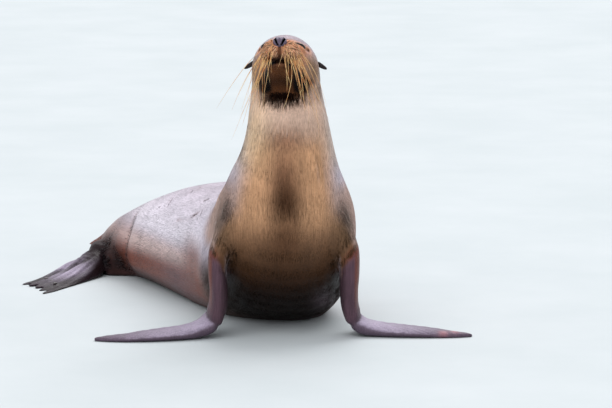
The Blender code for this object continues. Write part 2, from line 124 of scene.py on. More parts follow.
def place(piece):
    """Puts a piece's place, turn and size into its mesh."""
    only(piece)
    bpy.ops.object.transform_apply(location=True, rotation=True, scale=True)
    return piece


def ball(name, segments, rings, location=(0, 0, 0)):
    """A unit sphere, from which a small rounded piece is shaped."""
    bpy.ops.object.select_all(action="DESELECT")
    bpy.ops.mesh.primitive_uv_sphere_add(segments=segments, ring_count=rings, radius=1.0, location=location)
    piece = bpy.context.object
    piece.name = name
    return piece


def seat(piece, centre, along, up, size):
    """Sizes a piece, turns its x and z axes along two ways, and moves it to its place."""
    turn = Matrix((along, up.cross(along), up)).transposed()
    piece.matrix_world = Matrix.Translation(centre) @ turn.to_4x4() @ Matrix.Diagonal((*size, 1))
    return place(piece)


def joined(name, *pieces):
    """One object from several. The first takes in the rest."""
    only(*pieces)
    if len(pieces) > 1:
        bpy.ops.object.join()
    pieces[0].name = name
    pieces[0].data.name = name
    return pieces[0]


def copy_of(nodes, name, grow=0.0):
    """One object from merged copies of CAD nodes, each grown a little so that they overlap."""
    copies = []
    for node in nodes:
        piece = bpy.data.objects.new(name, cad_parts[node].data.copy())
        bpy.context.scene.collection.objects.link(piece)
        piece.data.materials.clear()
        whole(piece, bpy.ops.mesh.remove_doubles, threshold=0.01 * MM)
        if grow:
            press(piece, "DISPLACE", strength=grow, mid_level=0.0)
        copies.append(piece)
    return joined(name, *copies)


def read(items, name, width, kind=float):
    """One property of all the items of a mesh, as rows of an array."""
    values = np.zeros(len(items) * width, kind)
    items.foreach_get(name, values)
    return values.reshape(-1, width)


def flat(values, kind=np.float32):
    """An array as one plain row, the way that a mesh takes it."""
    return np.ascontiguousarray(values, kind).ravel()


def points_of(piece):
    """A mesh's points as an array."""
    return read(piece.data.vertices, "co", 3)


def normals_of(piece):
    """A mesh's point normals as an array."""
    return read(piece.data.vertex_normals, "vector", 3)


def pairs_of(piece):
    """A mesh's edges as pairs of point numbers."""
    return read(piece.data.edges, "vertices", 2, np.int64)


def set_points(piece, points):
    """Writes an array back as a mesh's points."""
    piece.data.vertices.foreach_set("co", flat(points, np.float64))
    piece.data.update()


def averaged(values, pairs, rounds, strength=0.5, back=0.0):
    """Evens values out along the edges. A step back after each keeps a rounded shape's size."""
    ends = np.concatenate((pairs[:, 0], pairs[:, 1]))
    others = np.concatenate((pairs[:, 1], pairs[:, 0]))
    share = 1.0 / np.maximum(np.bincount(ends, minlength=len(values)), 1)
    values = values.astype(float).copy()
    columns = values.reshape(len(values), -1)
    gain = np.reshape(strength, (-1, 1)) if np.ndim(strength) else strength
    for turn in range(rounds):
        for step in (1.0, -back):
            if not step:
                continue
            pull = np.stack(
                [np.bincount(ends, column[others], len(columns)) * share for column in columns.T], axis=1
            )
            columns += gain * step * (pull - columns)
    return values


def evened(points, pairs, rounds, places, radii, gain, back):
    """Points averaged most around a few places, and not at all far from them."""
    zone = sum(near(points, place, radii) for place in places)
    return averaged(points, pairs, rounds, 0.5 * np.clip(gain * zone, 0, 1), back)


def ease(value, start, end):
    """0 before start, 1 after end, smooth between."""
    t = np.clip((value - start) / (end - start), 0.0, 1.0)
    return t * t * (3.0 - 2.0 * t)


def bell(value, width):
    """1 at nought, falling away smoothly on both sides."""
    return np.exp(-((value / width) ** 2))


def near(points, centre, radii):
    """1 at a place, falling away smoothly with the distance."""
    reach = (points - np.array(centre)) / np.array(radii)
    return np.exp(-np.sum(reach * reach, axis=1))


def off_path(points, path):
    """Each point's distance from a path, and how far along the path its nearest place is, 0 to 1."""
    path = np.array([tuple(p) for p in path])
    steps = np.diff(path, axis=0)
    lengths = np.linalg.norm(steps, axis=1)
    before = np.concatenate(([0.0], np.cumsum(lengths)))
    best = np.full(len(points), 1e9)
    along = np.zeros(len(points))
    for start, step, length, done in zip(path, steps, lengths, before):
        t = np.clip((points - start) @ step / length**2, 0.0, 1.0)
        gap = np.linalg.norm(points - start - t[:, None] * step, axis=1)
        closer = gap < best
        best[closer] = gap[closer]
        along[closer] = (done + t[closer] * length) / before[-1]
    return best, along


def flowing(path, count):
    """A smooth line through a few points, as an array."""
    path = [Vector(p) for p in path]
    path = [2 * path[0] - path[1]] + path + [2 * path[-1] - path[-2]]
    line = []
    spans = len(path) - 3
    for number in range(count):
        t = number / (count - 1) * spans
        span = min(int(t), spans - 1)
        t -= span
        a, b, c, d = path[span : span + 4]
        line.append(
            0.5 * (2 * b + (c - a) * t + (2 * a - 5 * b + 4 * c - d) * t * t + (3 * b - a - 3 * c + d) * t**3)
        )
    return np.array([tuple(p) for p in line])


def colour(code):
    """An sRGB hex colour as linear red, green and blue."""
    parts = [int(code[i : i + 2], 16) / 255 for i in (1, 3, 5)]
    return np.array([c / 12.92 if c <= 0.04045 else ((c + 0.055) / 1.055) ** 2.4 for c in parts])


# ---------------------------------------------------------------- the skin

VOXEL_FORM = 6 * MM
VOXEL_SKIN = 3 * MM
VOXEL_HEAD = 2.5 * MM
# Each copy of a node grows by this much, so that neighbours join.
OVERLAP = 0.7 * MM
# The back step that keeps a rounded shape's size while it is evened.
KEEP_SIZE = 1.03
SKIN_TRIANGLES = 185000

# The plane of the chest's middle, and places on the body that more than one step works on.
MIDLINE = 0.1275
WRISTS = ((0.312, -0.600, 0.055), (-0.062, -0.600, 0.055))
ANKLES = ((-0.400, 0.330, 0.050), (-0.230, 0.490, 0.050))
ARMPITS = (-0.018, 0.273)
HEEL = (-0.400, 0.385, 0.058)
HEEL_SIZE = (0.045, 0.055, 0.036)
SHOULDERS = ((-0.035, -0.605, 0.305), (0.288, -0.605, 0.305))
CHEEKS = ((0.050, -0.600, 0.650), (0.212, -0.605, 0.655), (0.08, -0.63, 0.645), (0.185, -0.635, 0.645))
# So many toes, each with the web beside it, would fill a whole turn about the ankle.
TOES_AROUND = 13.0


def build_skin():
    """One closed skin from the flesh nodes: evened in the large, then fine enough to carve."""
    form = copy_of(BODY + ARMS + LEGS, "form", grow=OVERLAP)
    heel = ball("heel", 32, 16, HEEL)
    bpy.ops.transform.resize(value=HEEL_SIZE)
    place(heel)
    joined("form", form, heel)
    remesh(form, VOXEL_FORM)
    even = points_of(form)
    pairs = pairs_of(form)
    head_part = ease(in_head(even)[1], -0.06, 0.02) * ease(even[:, 2], 0.60, 0.66)
    even = averaged(even, pairs, 30, 0.5 * (1 - head_part), back=KEEP_SIZE)
    even = averaged(even, pairs, 8, 0.5 * (1 - head_part))
    tops = sum(near(even, top, (0.075, 0.09, 0.075)) for top in SHOULDERS) * ease(even[:, 2], 0.21, 0.26)
    even = averaged(even, pairs, 220, 0.5 * np.clip(1.7 * tops, 0, 1), back=0.55)
    set_points(form, even)
    # The head comes from its own finer copy, so the coarse one shrinks out of its way.
    shrink = head_part * 3 * MM
    set_points(form, points_of(form) - normals_of(form) * shrink[:, None])
    head = copy_of(("head", "lower_jaw"), "head_form", grow=OVERLAP)
    remesh(head, VOXEL_HEAD)
    set_points(head, averaged(points_of(head), pairs_of(head), 9, 0.5, back=KEEP_SIZE))
    flippers = copy_of(FLIPPERS, "flipper_form", grow=OVERLAP)
    angles = {"face_threshold": math.radians(50), "shape_threshold": math.radians(60)}
    whole(flippers, bpy.ops.mesh.tris_convert_to_quads, **angles)
    press(flippers, "SUBSURF", levels=2, render_levels=2)
    skin = joined("skin", form, head, flippers)
    remesh(skin, VOXEL_SKIN)
    points = points_of(skin)
    pairs = pairs_of(skin)
    points = averaged(points, pairs, 5, 0.5, back=KEEP_SIZE)
    points = evened(points, pairs, 80, WRISTS + ANKLES, (0.05,) * 3, 1.3, 0.85)
    set_points(skin, evened(points, pairs, 50, CHEEKS, (0.045, 0.06, 0.035), 1.5, 0.7))
    return skin


def node_finder():
    """A function that finds which flesh node each place belongs to."""
    points = []
    faces = []
    owner = []
    for number, node in enumerate(FLESH):
        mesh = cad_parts[node].data
        base = len(points)
        points.extend(v.co for v in mesh.vertices)
        faces.extend(tuple(base + i for i in p.vertices) for p in mesh.polygons)
        owner.extend([number] * len(mesh.polygons))
    tree = BVHTree.FromPolygons(points, faces)
    owner = np.array(owner)

    def owners(places):
        return owner[[tree.find_nearest(p)[2] for p in places]]

    return owners


OWNERS = node_finder()


def share_of(owned, nodes):
    """1 where a point's flesh node is one of these, else 0."""
    return np.isin(owned, [FLESH.index(n) for n in nodes]).astype(float)


def below_fold(points):
    """1 below the fold where each arm leaves the chest, which slants up to the arm's outside, else 0."""
    fold = np.clip(0.175 + 1.5 * (np.abs(points[:, 0] - MIDLINE) - 0.148), 0.165, 0.245)
    return ease(points[:, 2] - fold, 0.012, -0.012)


def bareness(points, owned, pairs, rounds):
    """1 on the flippers and the lower arms, where the hide is nearly bare, and 0 in full coat."""
    arms = share_of(owned, ARMS) * below_fold(points)
    return averaged(share_of(owned, FLIPPERS) + arms, pairs, rounds)


# Folds and creases: the path each follows, then its half width and depth.
THIGH_CREASE = flowing([(-0.302, 0.256, 0.186), (-0.327, 0.224, 0.119), (-0.325, 0.270, 0.03)], 14)
FLANK_BULGE = (-0.290, 0.185, 0.105)
SHOULDER_FOLDS = (
    ([(-0.068, -0.60, 0.24), (-0.056, -0.64, 0.226), (-0.036, -0.63, 0.195), (-0.02, -0.575, 0.15)], 7, 2.5),
    ([(0.32, -0.60, 0.24), (0.307, -0.64, 0.226), (0.287, -0.63, 0.195), (0.27, -0.575, 0.15)], 7, 2.5),
)
NECK_FOLDS = (
    ([(0.035, -0.660, 0.500), (0.040, -0.672, 0.450), (0.052, -0.675, 0.400)], 6, 1.5),
    ([(0.215, -0.665, 0.500), (0.222, -0.660, 0.450), (0.228, -0.665, 0.400)], 6, 1.2),
)
SCRATCHES = (
    ([(-0.150, -0.03, 0.290), (-0.128, 0.02, 0.292)], 3, 1.6),
    ([(-0.118, -0.02, 0.296), (-0.100, 0.03, 0.305)], 3, 1.4),
    ([(-0.075, -0.185, 0.300), (-0.100, -0.150, 0.290)], 3, 1.5),
    ([(-0.215, 0.035, 0.240), (-0.180, 0.080, 0.262), (-0.150, 0.10, 0.275)], 4, 1.8),
    ([(-0.120, -0.250, 0.255), (-0.086, -0.21, 0.278)], 4, 1.8),
    ([(-0.105, -0.200, 0.262), (-0.140, -0.150, 0.240), (-0.170, -0.08, 0.225)], 5, 1.6),
    ([(-0.225, 0.10, 0.235), (-0.255, 0.14, 0.225)], 4, 1.6),
)

HEALED_BITE = [(-0.004, -0.581, 0.420), (0.018, -0.625, 0.405), (0.036, -0.656, 0.389)]
LIP = ((0.056, 0.066, -0.052), (0.050, 0.092, -0.043), (0.038, 0.130, -0.040), (0.018, 0.155, -0.043))
MOUTH = [on_head(*p) for p in LIP] + [on_head(0.0, 0.161, -0.043)]
MOUTH += [on_head(-left, forward, up) for left, forward, up in reversed(LIP)]
PHILTRUM = [on_head(0, 0.192, -0.008), on_head(0, 0.186, -0.024), on_head(0, 0.172, -0.040)]
EYE_LINE = (
    (0.038, 0.1115, 0.0238),
    (0.0455, 0.1105, 0.0220),
    (0.0520, 0.1045, 0.0205),
    (0.0595, 0.0915, 0.0185),
    (0.0665, 0.0735, 0.0163),
)
NOSTRIL = ((0.0135, 0.188, 0.009), (0.0095, 0.192, 0.001), (0.0045, 0.190, -0.008))
PADS = [on_head(side * 0.024, 0.168, -0.021) for side in (1, -1)]


def eye_path(side):
    """The slit between one eye's closed lids."""
    return flowing([on_head(side * left, forward, up) for left, forward, up in EYE_LINE], 12)


def toe_fan(points, owned):
    """A wave across each hind foot: 1 along the toes and -1 in the web between, faded in from the heel."""
    wave = np.zeros(len(points))
    for flipper, leg in zip(HIND_FLIPPERS, LEGS):
        heel = np.array(middle(leg))
        offset = points - heel
        centre = np.array(middle(flipper)) - heel
        angle = np.arctan2(offset[:, 1], offset[:, 0]) - math.atan2(centre[1], centre[0])
        turn = (angle + math.pi) % (2 * math.pi) - math.pi
        reach = np.linalg.norm(offset[:, :2], axis=1)
        wave += share_of(owned, (flipper,)) * ease(reach, 0.05, 0.11) * np.cos(turn * TOES_AROUND)
    return wave


def carve(skin, owned):
    """Folds, creases, lids, mouth, toes: what a plain voxel shape can't hold."""
    points = points_of(skin)
    normals = normals_of(skin)
    push = np.zeros(len(points))

    def crease(path, width, depth, lip=0.35):
        gap, along = off_path(points, path)
        ends = np.sqrt(np.clip(np.sin(np.pi * np.clip(along, 0.02, 0.98)), 0, 1))
        width = width * MM
        return (-bell(gap, width) + lip * bell(gap - 2.0 * width, width)) * depth * MM * ends

    push += crease(THIGH_CREASE, 30, 7)
    push += near(points, FLANK_BULGE, (0.06, 0.06, 0.07)) * 6 * MM
    for path, width, depth in SHOULDER_FOLDS + NECK_FOLDS + SCRATCHES:
        push += crease(flowing(path, 10), width, depth)
    # Loose skin gathers in fine rings where each hind foot turns forward.
    for leg, flipper in zip(LEGS, HIND_FLIPPERS):
        centre = np.array(middle(leg))
        way = np.array(middle(flipper)) - centre
        way[2] = 0
        way /= np.linalg.norm(way)
        reach = (points - centre) @ way
        rings = np.sin(reach / (9 * MM) * math.pi + 1.3 * np.sin(points[:, 2] * 60))
        zone = near(points, centre + way * 0.035, (0.075, 0.075, 0.08)) * ease(points[:, 2], 0.01, 0.035)
        push += rings * zone * 0.9 * MM
    # Long finger bones show as low ridges in the flippers.
    for flipper, side in zip(FORE_FLIPPERS, (1, -1)):
        low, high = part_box(flipper)
        root = high.x if side < 0 else low.x
        reach = (points[:, 0] - root) * side
        length = high.x - low.x
        chord = points[:, 1] - (low.y + 0.35 * (high.y - low.y)) + 0.10 * reach
        fan = 0.020 + 0.018 * reach / length
        ridge = np.cos(chord / fan * math.pi)
        top = ease(normals[:, 2], 0.2, 0.7)
        zone = share_of(owned, (flipper,)) * ease(reach, 0.03, 0.10) * top
        push += zone * (1.6 * ridge + 0.35 * np.sin(reach / (4.5 * MM) + 6 * ridge)) * MM
    push += toe_fan(points, owned) * ease(normals[:, 2], 0.2, 0.7) * 2.6 * MM
    # The head.
    push += crease(MOUTH, 3.6, 5.5, lip=0.25)
    push += crease(PHILTRUM, 3.0, 5.0, lip=0.2)
    for side, pad in zip((1, -1), PADS):
        slit = eye_path(side)
        gap, along = off_path(points, slit)
        ends = np.sin(np.pi * np.clip(along, 0.03, 0.97)) ** 0.5
        brow, _ = off_path(points, slit + np.array(CROWN) * 0.011)
        push += bell(brow, 0.010) * 4.0 * MM - bell(gap, 0.0042) * 7.0 * MM * ends
        push += near(points, pad, (0.020, 0.020, 0.017)) * 2.5 * MM
        for root in whisker_roots(side):
            push += near(points, root, (0.0026,) * 3) * 1.2 * MM
    return points + normals * push[:, None], np.abs(push)


PAD_ROWS = 5
PAD_STEPS = 6


def whisker_roots(side):
    """Rows of follicles over one whisker pad."""
    roots = []
    for row in range(PAD_ROWS):
        for step in range(PAD_STEPS):
            back = step / (PAD_STEPS - 1)
            up = -0.004 - 0.0085 * row - 0.002 * back
            out = 0.013 + 0.030 * back + 0.0025 * (row % 2)
            fore = 0.186 - 0.034 * back**1.4 - 0.0022 * row
            roots.append(on_head(side * out, fore, up))
    return roots


def finish_skin(skin):
    """Carves the skin, sinks it by the coat's depth and thins its plain parts."""
    points = points_of(skin)
    head_zone = (in_head(points)[1] > 0.015) & (points[:, 2] > 0.60)
    only(skin)
    bpy.ops.object.mode_set(mode="EDIT")
    bpy.ops.mesh.select_all(action="DESELECT")
    bpy.ops.object.mode_set(mode="OBJECT")
    corners = read(skin.data.loops, "vertex_index", 1, np.int64).reshape(-1, 4)
    skin.data.polygons.foreach_set("select", head_zone[corners].all(axis=1))
    bpy.ops.object.mode_set(mode="EDIT")
    bpy.ops.mesh.subdivide(number_cuts=1, smoothness=0)
    bpy.ops.object.mode_set(mode="OBJECT")
    pairs = pairs_of(skin)
    owned = OWNERS(points_of(skin))
    bare = bareness(points_of(skin), owned, pairs, 20)
    points, carved = carve(skin, owned)
    set_points(skin, points)
    depth = COAT_DEPTH * (1 - bare) * ease(points[:, 2], 0.0, 0.02)
    points = points - normals_of(skin) * depth[:, None]
    points[:, 2] = np.maximum(points[:, 2], 0.2 * MM)
    set_points(skin, points)
    # Plain parts hold fewer faces than the head and the flippers.
    group = skin.vertex_groups.new(name="plain")
    plain = (1 - ease(in_head(points)[1], 0.0, 0.02) * ease(points[:, 2], 0.58, 0.62)) * (1 - 0.6 * bare)
    plain *= 1 - 0.8 * ease(averaged(carved, pairs, 4), 0.2 * MM, 1.0 * MM)
    # Below 1 an edge's length counts too, which keeps the plain faces even, a few mm across.
    plain *= 0.7
    for level in range(1, 11):
        chosen = np.nonzero((plain > (level - 1) / 10) & (plain <= level / 10))[0]
        group.add(chosen.tolist(), level / 10, "REPLACE")
    triangles = sum(len(p.vertices) - 2 for p in skin.data.polygons)
    press(skin, "TRIANGULATE")
    thinned = {"ratio": SKIN_TRIANGLES / triangles, "vertex_group": "plain", "vertex_group_factor": 1.0}
    press(skin, "DECIMATE", use_collapse_triangulate=True, **thinned)
    skin.vertex_groups.clear()


def coat_way(points, normals, owned, pairs):
    """The way the coat lies: nose to nape, down the neck and chest, back along the trunk, out on limbs."""
    y, z = points[:, 1], points[:, 2]
    trunk = ease(y, -0.45, -0.20) * ease(z, 0.52, 0.38)
    tail = ease(y, 0.15, 0.40)
    skull = ease(z, 0.62, 0.72)
    way = np.tile((-0.02, 0.02, -1.0), (len(points), 1))
    way += (np.array((-0.03, 0.25, -1.0)) - way) * ease(y, -0.60, -0.50)[:, None]
    way += (np.array((-0.45, 0.87, -0.12)) - way) * trunk[:, None]
    way += (np.array((-0.62, 0.76, -0.20)) - way) * tail[:, None]
    way += (-np.array(FORWARD) - way) * skull[:, None]
    for node in ARMS:
        way[owned == FLESH.index(node)] = (0.0, -0.05, -1.0)
    for leg, flipper in zip(LEGS, HIND_FLIPPERS):
        out = (middle(flipper) - middle(leg)).normalized()
        for node in (leg, flipper):
            way[owned == FLESH.index(node)] = tuple(out)
    for side, flipper in zip((1, -1), FORE_FLIPPERS):
        way[owned == FLESH.index(flipper)] = (side, -0.05, 0.0)
    way = averaged(way, pairs, 10)
    way -= normals * np.sum(way * normals, axis=1)[:, None]
    way /= np.maximum(np.linalg.norm(way, axis=1), 1e-6)[:, None]
    return way, np.maximum(trunk, tail)


# ---------------------------------------------------------------- markings and painted light

BACK_MAUVE = colour("#A89CA8")
BACK_PAINTED_HIGHLIGHT = colour("#F0E8F2")
BACK_PAINTED_REFLECTION = colour("#D6CCD8")
FLANK_PINK = colour("#CBB2AE")
FLANK_BROWN = colour("#7C4638")
FLANK_MAUVE = colour("#6A5A62")
NECK_GREY = colour("#DAC2AC")
NECK_GOLD = colour("#F2D2A8")
CHEST_TAN = colour("#CE9E78")
CHEST_BROWN = colour("#573925")
CHEST_DARK = colour("#3A2212")
BLACK_FUR_AND_SHADE = colour("#180A04")
THROAT_PALE = colour("#D6B8A6")
THROAT_BROWN = colour("#8A6048")
SHOULDER_OLIVE = colour("#4E3E2E")
ARM_MAUVE = colour("#56404A")
FLIPPER_PLUM = colour("#5E505E")
FOOT_DARK = colour("#2C2229")
FLIPPER_PAINTED_SHEEN = colour("#ACA0B6")
FOLD_RUST = colour("#703B2C")
FOLD_DARK = colour("#1C1012")
TIP_PINK = colour("#B07880")
CROWN_GREY = colour("#B6AAB6")
FACE_RUST = colour("#E09A74")
CHEEK_BROWN = colour("#98745A")
FACE_BROWN = colour("#5C2C1C")
JAW_BROWN = colour("#6A4228")
JAW_DARK = colour("#22110B")
LIP_BLACK = colour("#070405")
MUZZLE_GOLD = colour("#FBD3AC")


def markings_and_painted_light(points, normals, owned, pairs):
    """The colour of the coat and bare skin at every point, with painted highlights, reflections and shade
    laid in.
    """
    tone = np.tile(BACK_MAUVE, (len(points), 1))

    def lay(shade, share):
        tone[:] += (shade - tone) * np.clip(share, 0, 1)[:, None]

    def line(path, width):
        return bell(off_path(points, path)[0], width * MM)

    def spot(centre, radii):
        return near(points, centre, radii)

    x, y, z = points.T
    up = normals[:, 2]
    facing = -normals[:, 1]
    from_middle = np.abs(x - MIDLINE)
    left, fore, high = in_head(points)
    # Back and flanks: a painted sky reflection and highlight band above, less on the up-facing top; then
    # pinkish, rust-brown and mauve down to the floor.
    behind = ease(y, -0.42, -0.30)
    # Painted reflection: the upper body is painted pale lilac.
    lay(BACK_PAINTED_REFLECTION, ease(z, 0.10, 0.24))
    lay(BACK_MAUVE, behind * ease(up, 0.70, 0.95) * 0.5)
    # Painted highlight: a pale band along the side of the body.
    lay(BACK_PAINTED_HIGHLIGHT, behind * bell(z - 0.195, 0.04) * 0.7)
    lay(FLANK_PINK, behind * ease(z, 0.18, 0.13))
    lay(FLANK_BROWN, behind * ease(z, 0.135, 0.085) * 0.95)
    lay(FLANK_BROWN, behind * ease(z, 0.23, 0.16) * ease(y, -0.12, -0.26) * 0.75)
    lay(FLANK_MAUVE, behind * ease(z, 0.06, 0.035) * 0.35)
    lay(FLANK_MAUVE, spot((-0.15, -0.12, 0.07), (0.10, 0.14, 0.05)) * 0.6)
    # Painted shade: faces that turn down are painted near black.
    lay(BLACK_FUR_AND_SHADE, ease(up, -0.4, -0.95) * 0.7)
    # Chest and throat: tan with a dark middle, browner and then black towards the floor, partly the coat's
    # own dark colour and partly painted shade.
    ahead = ease(y, -0.30, -0.45)
    front = ease(facing, 0.15, 0.80) * ahead

    def on_chest(shade, across, above, wide, tall, share=1.0):
        """A soft patch on the front of the chest or throat, of a half width and half height."""
        lay(shade, front * spot((across, -0.69, above), (wide, 0.20, tall)) * share)

    lay(NECK_GREY, ahead * ease(z, 0.42, 0.50) * 0.7)
    lay(CHEST_TAN, np.maximum(front, ahead * ease(z, 0.21, 0.25) * ease(z, 0.44, 0.38) * 0.6))
    lay(THROAT_PALE, front * ease(z, 0.50, 0.57) * 0.9)
    lay(THROAT_BROWN, front * spot((0.127, -0.69, 0.535), (0.060, 0.08, 0.024)) * 0.9)
    on_chest(THROAT_BROWN, 0.128, 0.445, 0.040, 0.080, 0.85)
    lay(CHEST_BROWN, spot((-0.012, -0.57, 0.395), (0.045, 0.10, 0.06)) * 0.3)
    lay(CHEST_BROWN, front * ease(z, 0.36, 0.24) * 0.72)
    on_chest(CHEST_BROWN, 0.134, 0.385, 0.040, 0.060)
    on_chest(CHEST_BROWN, 0.130, 0.270, 0.045, 0.080, 0.8)
    on_chest(CHEST_DARK, 0.134, 0.365, 0.034, 0.036, 0.6)
    on_chest(CHEST_DARK, 0.128, 0.352, 0.012, 0.012, 0.6)
    on_chest(CHEST_DARK, 0.150, 0.345, 0.008, 0.010, 0.6)
    streak = [(0.150, -0.69, 0.34), (0.162, -0.69, 0.30), (0.158, -0.68, 0.25)]
    lay(CHEST_BROWN, front * line(streak, 7) * 0.5)
    # Painted shade over the coat's own darker colour, deepening towards the floor.
    lay(CHEST_DARK, front * ease(z, 0.32, 0.16) * 0.88)
    lay(CHEST_DARK, ahead * ease(z, 0.20, 0.12))
    lay(BLACK_FUR_AND_SHADE, ahead * ease(z, 0.18, 0.08))
    lay(FLANK_MAUVE, spot((0.240, -0.48, 0.085), (0.030, 0.10, 0.035)) * 0.8)
    lay(NECK_GOLD, spot((0.045, -0.63, 0.545), (0.045, 0.08, 0.08)) * 0.6)
    # Painted shade in each armpit, between arm and chest.
    for across in ARMPITS:
        lay(CHEST_DARK, spot((across, -0.52, 0.175), (0.022, 0.09, 0.080)))
        lay(BLACK_FUR_AND_SHADE, spot((across, -0.50, 0.12), (0.028, 0.09, 0.085)))
    _, along = off_path(points, HEALED_BITE)
    lay(CHEST_DARK, line(HEALED_BITE, 4) * ease(np.sin(along * 7 * math.tau), -0.2, 0.6) * 0.8)
    for centre in ((-0.038, -0.60, 0.305), (0.290, -0.60, 0.300)):
        lay(SHOULDER_OLIVE, spot(centre, (0.036, 0.10, 0.065)) * 0.82)
    # Arms and flippers.
    arms = averaged(share_of(owned, ARMS), pairs, 10)
    lower = below_fold(points)
    lay(ARM_MAUVE, arms * lower)
    # Painted shade on each arm's inner side, next to the chest.
    lay(FOLD_DARK, arms * lower * ease(from_middle, 0.170, 0.150) * 0.6)
    rust = arms * lower * ease(from_middle, 0.183, 0.190) * ease(z, 0.06, 0.12) * ease(facing, -0.2, 0.3)
    lay(FOLD_RUST, rust * 0.8)
    bare = bareness(points, owned, pairs, 10)
    hands = averaged(share_of(owned, FLIPPERS), pairs, 16)
    lay(FLIPPER_PLUM, hands)
    # Painted sheen: the up-facing tops of the fore flippers are paler.
    lay(FLIPPER_PAINTED_SHEEN, hands * ease(up, 0.25, 0.95) * ease(from_middle, 0.50, 0.20) * ahead * 0.85)
    feet = hands * ease(y, -0.2, 0.0)
    lay(FOOT_DARK, feet * 0.85)
    # Painted highlight on the up-facing tops of the hind feet.
    lay(FLIPPER_PAINTED_SHEEN, feet * ease(up, 0.4, 0.8) * ease(z, 0.006, 0.028) * ease(z, 0.070, 0.045))
    # Painted shade in the webs between the toes.
    lay(FOLD_DARK, feet * ease(toe_fan(points, owned), 0.1, -0.7) * 0.65)
    # Each shoulder fold: a rust-coloured arc, with a thin line of painted shade in its crease.
    for path, _, _ in SHOULDER_FOLDS:
        lay(FOLD_RUST, line(flowing(path, 10), 9) * 0.9)
        lay(FOLD_DARK, line(flowing(path, 10), 3) * 0.25)
    for path, _, _ in SCRATCHES:
        lay(FLANK_BROWN, line(flowing(path, 10), 3.5) * 0.6)
    lay(FLANK_MAUVE, spot((-0.33, 0.33, 0.20), (0.10, 0.12, 0.09)) * 0.45)
    # Painted shade behind the flank's bulge and in the thigh's crease, over browner coat, black at the floor.
    lay(FLANK_BROWN, spot((-0.36, 0.31, 0.10), (0.06, 0.10, 0.06)) * 0.4)
    lay(BLACK_FUR_AND_SHADE, spot((-0.35, 0.29, 0.04), (0.05, 0.08, 0.045)) * 0.9)
    lay(FLANK_BROWN, line(THIGH_CREASE, 14) * 0.3)
    for centre in (*(middle(leg) for leg in LEGS), HEEL, (-0.405, 0.330, 0.075), (-0.425, 0.298, 0.052)):
        lay(FOLD_DARK, spot(centre, (0.060, 0.060, 0.052)) * 0.8)
    for centre in ((0.575, -0.62, 0.012), (0.545, -0.635, 0.010)):
        lay(TIP_PINK, spot(centre, (0.012, 0.012, 0.012)) * 0.8)
    # Head.
    on_skull = ease(z, 0.62, 0.68)
    lay(CHEEK_BROWN, on_skull * ease(fore, 0.0, 0.04) * ease(up, 0.6, 0.1) * 0.7)
    # The up-facing crown is paler grey: partly the coat's grey, partly a painted highlight.
    lay(CROWN_GREY, on_skull * ease(up, 0.1, 0.7) * 0.85)
    muzzle = ease(fore, 0.075, 0.125) * on_skull
    lay(FACE_RUST, muzzle * ease(high, 0.040, 0.015) * 0.95)
    for side, pad in zip((1, -1), PADS):
        lay(FACE_RUST, spot(on_head(side * 0.045, 0.12, -0.01), (0.03, 0.03, 0.03)) * 0.7)
        lay(FACE_BROWN, spot(pad - CROWN * 0.012, (0.024, 0.024, 0.010)))
        lay(LIP_BLACK, spot(on_head(side * 0.020, 0.164, -0.038), (0.014, 0.018, 0.009)))
    jaw = ease(high, -0.043, -0.055) * ease(high, -0.106, -0.099) * ease(fore, 0.010, 0.05)
    lay(JAW_BROWN, jaw)
    lay(JAW_DARK, jaw * bell(high + 0.077, 0.008) * 0.65)
    # Darker towards the jaw's underside: partly its dark hair, partly painted shade under the chin.
    lay(JAW_DARK, jaw * ease(high, -0.090, -0.097) * 0.9)
    lay(LIP_BLACK, jaw * ease(np.abs(left), 0.024, 0.034) * ease(high, -0.094, -0.084))
    for side in (1, -1):
        lay(LIP_BLACK, spot(on_head(side * 0.028, 0.148, -0.045), (0.014, 0.032, 0.010)))
        lay(FACE_RUST, line(eye_path(side), 14) * 0.8)
        lay(LIP_BLACK, 1.6 * line(eye_path(side), 5.0))
    lay(LIP_BLACK, 1.6 * line(MOUTH, 7))
    lay(LIP_BLACK, 1.6 * line(PHILTRUM, 4.6))
    lay(LIP_BLACK, spot(on_head(0, 0.165, -0.041), (0.024, 0.02, 0.006)))
    return tone, bare


def note(piece, name, values):
    """Stores a value or a colour for each point of a mesh."""
    kind, part = "FLOAT", "value"
    if values.ndim == 2:
        kind, part = "FLOAT_COLOR", "color"
        values = np.concatenate((values, np.ones((len(values), 1))), axis=1)
    made = piece.data.attributes.new(name, kind, "POINT")
    made.data.foreach_set(part, flat(values))


# ---------------------------------------------------------------- materials


def add(tree, kind, inputs=None, **settings):
    """Adds a shader node with its settings, and gives each input a value or a link."""
    made = tree.nodes.new("ShaderNode" + kind)
    for key, value in settings.items():
        setattr(made, key, value)
    for key, value in (inputs or {}).items():
        if isinstance(value, bpy.types.NodeSocket):
            tree.links.new(value, made.inputs[key])
        else:
            made.inputs[key].default_value = value
    return made


def material(name):
    """A new material with an empty tree."""
    made = bpy.data.materials.new(name)
    made.use_nodes = True
    made.node_tree.nodes.clear()
    return made, made.node_tree


def surface(tree, inputs):
    """A principled surface on the output."""
    shader = add(tree, "BsdfPrincipled", inputs)
    add(tree, "OutputMaterial", {"Surface": shader.outputs[0]})


def rgba(code):
    """A hex colour as a socket takes it."""
    return (*colour(code), 1.0)


